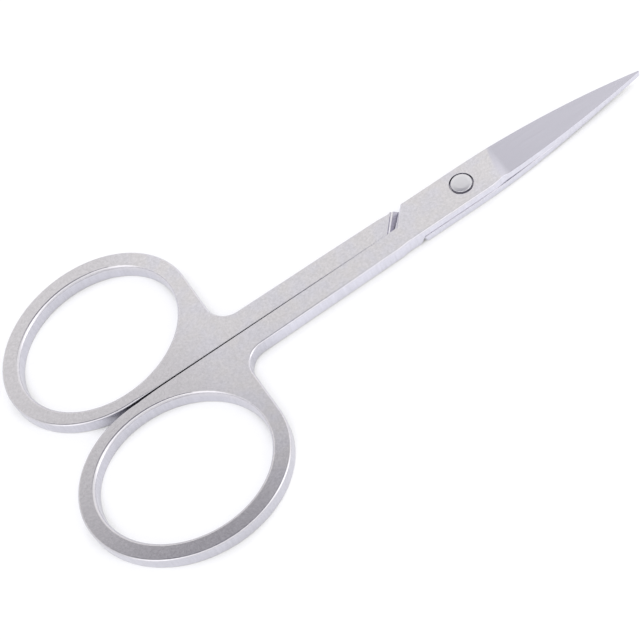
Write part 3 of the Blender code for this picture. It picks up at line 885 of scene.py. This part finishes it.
def tumbled_stainless(name, finish):
    """Stamped 420 stainless plate, tumbled to a fine satin, with a wheel-ground blade face.

    Tumbling leaves a dense matt grain with faint warm and cool patches a few millimetres wide. The shear
    leaves fine upright marks on the walls, and the wheel leaves a cooler face with hair lines along the
    blade. Painted shade, with some oil and dirt, darkens the notches and the bore around the rivet."""
    material, tree = empty_material(name)
    place = add_node(tree, "ShaderNodeTexCoord").outputs["Object"]
    along = add_node(tree, "ShaderNodeSeparateXYZ", {"Vector": place}).outputs["X"]
    values = {"soiled": 0.5}
    for key in ("wall", "ground", "grime"):
        values[key] = add_node(tree, "ShaderNodeAttribute", attribute_name=key).outputs["Fac"]

    # Each pattern has its octaves, and its cells to a millimetre along x, y and z. Grit of 0.15 mm
    # gives 1 / 0.15 = 6.7 cells, and the grain is twice as coarse, so that it shows in the render. The
    # patches are 3 mm wide. The shear drags its marks down the wall, about 0.3 mm apart. The wheel's
    # hair lines run along the blade, 0.25 mm apart.
    for key, octaves, *cells in (
        ("grit", 2.0, 6.7, 6.7, 6.7),
        ("grain", 2.0, 3.3, 3.3, 3.3),
        ("patches", 2.0, 0.35, 0.35, 0.35),
        ("drags", 3.0, 3.5, 3.5, 0.25),
        ("hairs", 3.0, 0.15, 4.0, 1.0),
    ):
        scale = [count * PER_METRE for count in cells]
        spot = add_node(tree, "ShaderNodeMapping", {"Vector": place, "Scale": scale}).outputs["Vector"]
        settings = {"Vector": spot, "Scale": 1.0, "Detail": octaves}
        values[key] = add_node(tree, "ShaderNodeTexNoise", settings).outputs["Fac"]

    # Each value is spread from its first two limits to its last two. The rings' walls, painted darker as
    # shade, end where the shanks begin, about 15 mm behind the scissors' middle, and their duller faces 10
    # mm further back.
    for key, value, *limits in (
        ("past_ring_wall", along, -0.017, -0.011, 0, 1),
        ("past_ring_face", along, -0.027, -0.021, 0, 1),
        ("cool", values["patches"], 0.4, 0.6, 0, 1),
        ("flat", values["wall"], 0, 1, 1, 0),
        ("satin", values["grain"], 0.3, 0.7, 0.94, 1.06),
        ("sheared", values["drags"], 0.3, 0.7, 0.955, 1.045),
        ("wheeled", values["hairs"], 0.3, 0.7, 0.98, 1.02),
        ("fine", values["grit"], 0.3, 0.7, 0.97, 1.03),
        ("rough", values["grit"], 0.3, 0.7, 0.18, 0.24),
    ):
        spread = {"Value": value, **dict(zip(LIMITS, limits))}
        values[key] = add_node(tree, "ShaderNodeMapRange", spread).outputs[0]

    # Factors multiply each other, and the painted shade with its grime leaves some of the steel to show
    # through.
    for key, first, second in (
        ("ground_flat", values["ground"], values["flat"]),
        ("cover", values["grime"], 0.85),
    ):
        factors = {0: first, 1: second}
        values[key] = add_node(tree, "ShaderNodeMath", factors, operation="MULTIPLY").outputs[0]

    # Each layer of colour is a mix of two others, by a share, and so are the pattern and the
    # roughness. A Mix node takes its share at socket 0, two numbers at 2 and 3, two colours at 6 and 7.
    tones = {key: (*getattr(finish, key), 1) for key in Finish.__annotations__}
    for key, share, first, second in (
        # The rings' walls take the darker tone of painted shade.
        ("wall", "past_ring_wall", "ring_wall", "wall"),
        ("face", "cool", "face", "cool_face"),
        ("face", "past_ring_face", "ring_face", "face"),
        ("steel", "wall", "face", "wall"),
        ("steel", "ground_flat", "steel", "ground"),
        ("steel", "cover", "steel", "grime"),
    ):
        sockets = {0: values[share], 6: tones[first], 7: tones[second]}
        tones[key] = add_node(tree, "ShaderNodeMix", sockets, data_type="RGBA").outputs[2]
    for key, share, first, second in (
        ("pattern", "wall", "satin", "sheared"),
        ("pattern", "ground_flat", "pattern", "wheeled"),
        ("rough", "grime", "rough", "soiled"),
    ):
        sockets = {0: values[share], 2: values[first], 3: values[second]}
        values[key] = add_node(tree, "ShaderNodeMix", sockets, data_type="FLOAT").outputs[0]

    factors = {0: values["pattern"], 1: values["fine"]}
    shade = add_node(tree, "ShaderNodeMath", factors, operation="MULTIPLY").outputs[0]
    shaded = {0: tones["steel"], "Scale": shade}
    base = add_node(tree, "ShaderNodeVectorMath", shaded, operation="SCALE").outputs[0]
    relief = {"Strength": 0.08, "Distance": 0.00001, "Height": values["grit"]}
    bump = add_node(tree, "ShaderNodeBump", relief).outputs[0]
    steel = {"Base Color": base, "Metallic": 1.0, "Roughness": values["rough"], "Normal": bump}
    shader = add_node(tree, "ShaderNodeBsdfPrincipled", steel).outputs[0]
    add_node(tree, "ShaderNodeOutputMaterial", {"Surface": shader})
    return material


def turned_stainless(name, finish):
    """A stainless rivet turned on a lathe and spun over at assembly: smooth and bright, with a fine
    unevenness that blurs what it mirrors, and painted shade with some dirt at its side."""
    material, tree = empty_material(name)
    place = add_node(tree, "ShaderNodeTexCoord").outputs["Object"]
    # Marks of 0.17 mm: 1 / 0.17 = 6 cells to a millimetre.
    marks = {"Vector": place, "Scale": 6.0 * PER_METRE, "Detail": 2.0}
    marks = add_node(tree, "ShaderNodeTexNoise", marks).outputs["Fac"]
    spread = {"Value": marks, **dict(zip(LIMITS, (0.3, 0.7, 0.3, 0.38)))}
    rough = add_node(tree, "ShaderNodeMapRange", spread).outputs[0]
    # Painted shade, with some dirt, darkens the head's side.
    grime = add_node(tree, "ShaderNodeAttribute", attribute_name="grime").outputs["Fac"]
    tones = {0: grime, 6: (*finish.rivet, 1), 7: (*finish.grime, 1)}
    tone = add_node(tree, "ShaderNodeMix", tones, data_type="RGBA").outputs[2]
    steel = {"Base Color": tone, "Metallic": 1.0, "Roughness": rough}
    shader = add_node(tree, "ShaderNodeBsdfPrincipled", steel).outputs[0]
    add_node(tree, "ShaderNodeOutputMaterial", {"Surface": shader})
    return material


def white_table(name, finish):
    """Matt white paper under the scissors. Its own glow keeps it white where it lies open, and fades as
    painted shade close to steel that stands over it. The rest of its colour takes the soft shadow, a
    little bluer than the paper."""
    material, tree = empty_material(name)
    path = add_node(tree, "ShaderNodeLightPath").outputs
    seen = path["Is Camera Ray"]
    for ray in ("Is Glossy Ray", "Is Transmission Ray"):
        seen = add_node(tree, "ShaderNodeMath", {0: seen, 1: path[ray]}, operation="MAXIMUM").outputs[0]
    # Painted shade: the glow fades where steel within 3 mm hides the room, all of it where the steel hides
    # most of it.
    around = add_node(tree, "ShaderNodeAmbientOcclusion", {"Distance": 0.003}, samples=4)
    limits = {"Value": around.outputs["AO"], "From Min": 0.14, "From Max": 0.5}
    light = add_node(tree, "ShaderNodeMapRange", limits).outputs[0]
    light = add_node(tree, "ShaderNodeMath", {0: seen, 1: light}, operation="MULTIPLY").outputs[0]
    glow = {"Color": (*finish.paper_glow, 1), "Strength": light}
    glow = add_node(tree, "ShaderNodeEmission", glow).outputs[0]
    paper = add_node(tree, "ShaderNodeBsdfDiffuse", {"Color": (*finish.paper, 1)}).outputs[0]
    both = add_node(tree, "ShaderNodeAddShader", {0: glow, 1: paper}).outputs[0]
    add_node(tree, "ShaderNodeOutputMaterial", {"Surface": both})
    return material


def light_tent(name, finish):
    """A tent of white cloth as a world of light. It is open over the scissors: a round dark hole of
    30 degrees about its middle. A lamp before the tent makes a band of its cloth brighter."""
    world = bpy.data.worlds.new(name)
    world.use_nodes = True
    tree = world.node_tree
    tree.nodes.clear()
    place = add_node(tree, "ShaderNodeTexCoord").outputs["Generated"]
    middle = Vector((-0.1, 0.0, 0.995)).normalized()
    near = add_node(tree, "ShaderNodeVectorMath", {0: place, 1: middle}, operation="DOT_PRODUCT")
    sides = add_node(tree, "ShaderNodeSeparateXYZ", {"Vector": place}).outputs
    # Each value is spread smoothly from its first two limits to its last two: the opening, the lamp's
    # band, the dull front of the cloth low down, and its brighter right side.
    shares = []
    for value, *limits in (
        (near.outputs["Value"], 0.848, 0.878, 0.0, 1.0),
        (sides["Y"], -0.1, -0.4, 1.0, 1.6),
        (sides["Y"], -0.6, -0.8, 1.0, 0.65),
        (sides["X"], 0.4, 0.7, 1.0, 1.15),
    ):
        spread = {"Value": value, **dict(zip(LIMITS, limits))}
        share = add_node(tree, "ShaderNodeMapRange", spread, interpolation_type="SMOOTHSTEP")
        shares.append(share.outputs[0])
    opening, cloth, *others = shares
    for share in others:
        cloth = add_node(tree, "ShaderNodeMath", {0: cloth, 1: share}, operation="MULTIPLY").outputs[0]
    white = {0: (1, 1, 1), "Scale": cloth}
    cloth = add_node(tree, "ShaderNodeVectorMath", white, operation="SCALE").outputs[0]
    tones = {0: opening, 6: cloth, 7: (*finish.opening, 1)}
    light = add_node(tree, "ShaderNodeMix", tones, data_type="RGBA").outputs[2]
    tent = add_node(tree, "ShaderNodeBackground", {"Color": light, "Strength": 1.0}).outputs[0]
    add_node(tree, "ShaderNodeOutputWorld", {"Surface": tent})
    return world


def show(mesh, material, body, node):
    """Puts a finished mesh into the scene, on its body, in place of its CAD node."""
    mesh.materials.append(material)
    piece = bpy.data.objects.new(mesh.name, mesh)
    bpy.context.scene.collection.objects.link(piece)
    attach(piece, body)
    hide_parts(node)


class SCISSORS_OT_halves(bpy.types.Operator):
    """Build the two stamped halves"""

    bl_idname = "scissors.halves"
    bl_label = "Build Halves"

    def execute(self, context):
        scene = context.scene
        sizes, rivet, fine = scene.scissor_sizes, scene.rivet_sizes, scene.scissor_fineness
        # The lower half is the same plan turned over about the long axis.
        for side, upper, bore_y, turn, rise in (
            ("upper", True, rivet_y, (1, 1, 1), 0.0),
            ("lower", False, -rivet_y, (1, -1, -1), sizes.plate),
        ):
            plan = Plan(sizes, fine, upper, bore_y)
            mesh = half_mesh(f"{side}_stamping", plan, rivet, (pivot_x, 0, rise), turn)
            steel = tumbled_stainless(f"tumbled_stainless_{side}", scene.scissor_finish)
            show(mesh, steel, f"{side}_body", f"{side}_half")
        return {"FINISHED"}


class SCISSORS_OT_rivet(bpy.types.Operator):
    """Build the pivot rivet"""

    bl_idname = "scissors.rivet"
    bl_label = "Build Rivet"

    def execute(self, context):
        scene = context.scene
        sizes, rivet, fine = scene.scissor_sizes, scene.rivet_sizes, scene.scissor_fineness
        mesh = rivet_mesh("turned_rivet", sizes, rivet, fine, (pivot_x, rivet_y, 0))
        steel = turned_stainless("turned_stainless", scene.scissor_finish)
        show(mesh, steel, "lower_body", "pivot_rivet")
        return {"FINISHED"}


class SCISSORS_OT_stage(bpy.types.Operator):
    """Lay the white table and set the light and the camera"""

    bl_idname = "scissors.stage"
    bl_label = "Set Stage"

    def execute(self, context):
        scene = context.scene
        mesh = bpy.data.meshes.new("table")
        side, below = 3.0, -0.00002
        corners = [(-side, -side, below), (side, -side, below), (side, side, below), (-side, side, below)]
        mesh.from_pydata(corners, [], [(0, 1, 2, 3)])
        mesh.materials.append(white_table("white_paper", scene.scissor_finish))
        table = bpy.data.objects.new("table", mesh)
        scene.collection.objects.link(table)
        scene.world = light_tent("light_tent", scene.scissor_finish)

        # Lens, place and turn of the photograph's camera, fitted to the outlines of the scissors.
        lens = bpy.data.cameras.new("camera")
        lens.lens = 90.519
        lens.clip_start, lens.clip_end = 0.01, 10
        camera = bpy.data.objects.new("camera", lens)
        camera.location = (-0.031145, -0.115757, 0.175784)
        camera.rotation_euler = [math.radians(degrees) for degrees in (30.7865, 12.7123, -32.1437)]
        scene.collection.objects.link(camera)
        scene.camera = camera
        scene.view_settings.view_transform = "Standard"
        return {"FINISHED"}


class SCISSORS_PT_panel(bpy.types.Panel):
    """Lists the steps in the 3D view's sidebar."""

    bl_label = "Eyebrow Scissors"
    bl_idname = "SCISSORS_PT_panel"
    bl_space_type = "VIEW_3D"
    bl_region_type = "UI"
    bl_category = "Scissors"

    def draw(self, context):
        layout = self.layout
        for operator in OPERATORS:
            layout.operator(operator.bl_idname)
        for group in GROUPS:
            box = layout.box()
            values = getattr(context.scene, group)
            for key in GROUPS[group].__annotations__:
                box.prop(values, key)


GROUPS = {
    "scissor_sizes": ScissorSizes,
    "rivet_sizes": RivetSizes,
    "scissor_finish": Finish,
    "scissor_fineness": Fineness,
}
OPERATORS = (SCISSORS_OT_halves, SCISSORS_OT_rivet, SCISSORS_OT_stage)


def register():
    """Adds the classes, and their properties to every scene."""
    for cls in (*GROUPS.values(), *OPERATORS, SCISSORS_PT_panel):
        bpy.utils.register_class(cls)
    for name, group in GROUPS.items():
        setattr(bpy.types.Scene, name, PointerProperty(type=group))


def unregister():
    """Takes them out again."""
    for name in GROUPS:
        delattr(bpy.types.Scene, name)
    for cls in (SCISSORS_PT_panel, *OPERATORS, *GROUPS.values()):
        bpy.utils.unregister_class(cls)


def main():
    """Builds and stages the scissors."""
    register()
    bpy.ops.scissors.halves()
    bpy.ops.scissors.rivet()
    bpy.ops.scissors.stage()


if __name__ == "__main__":
    main()
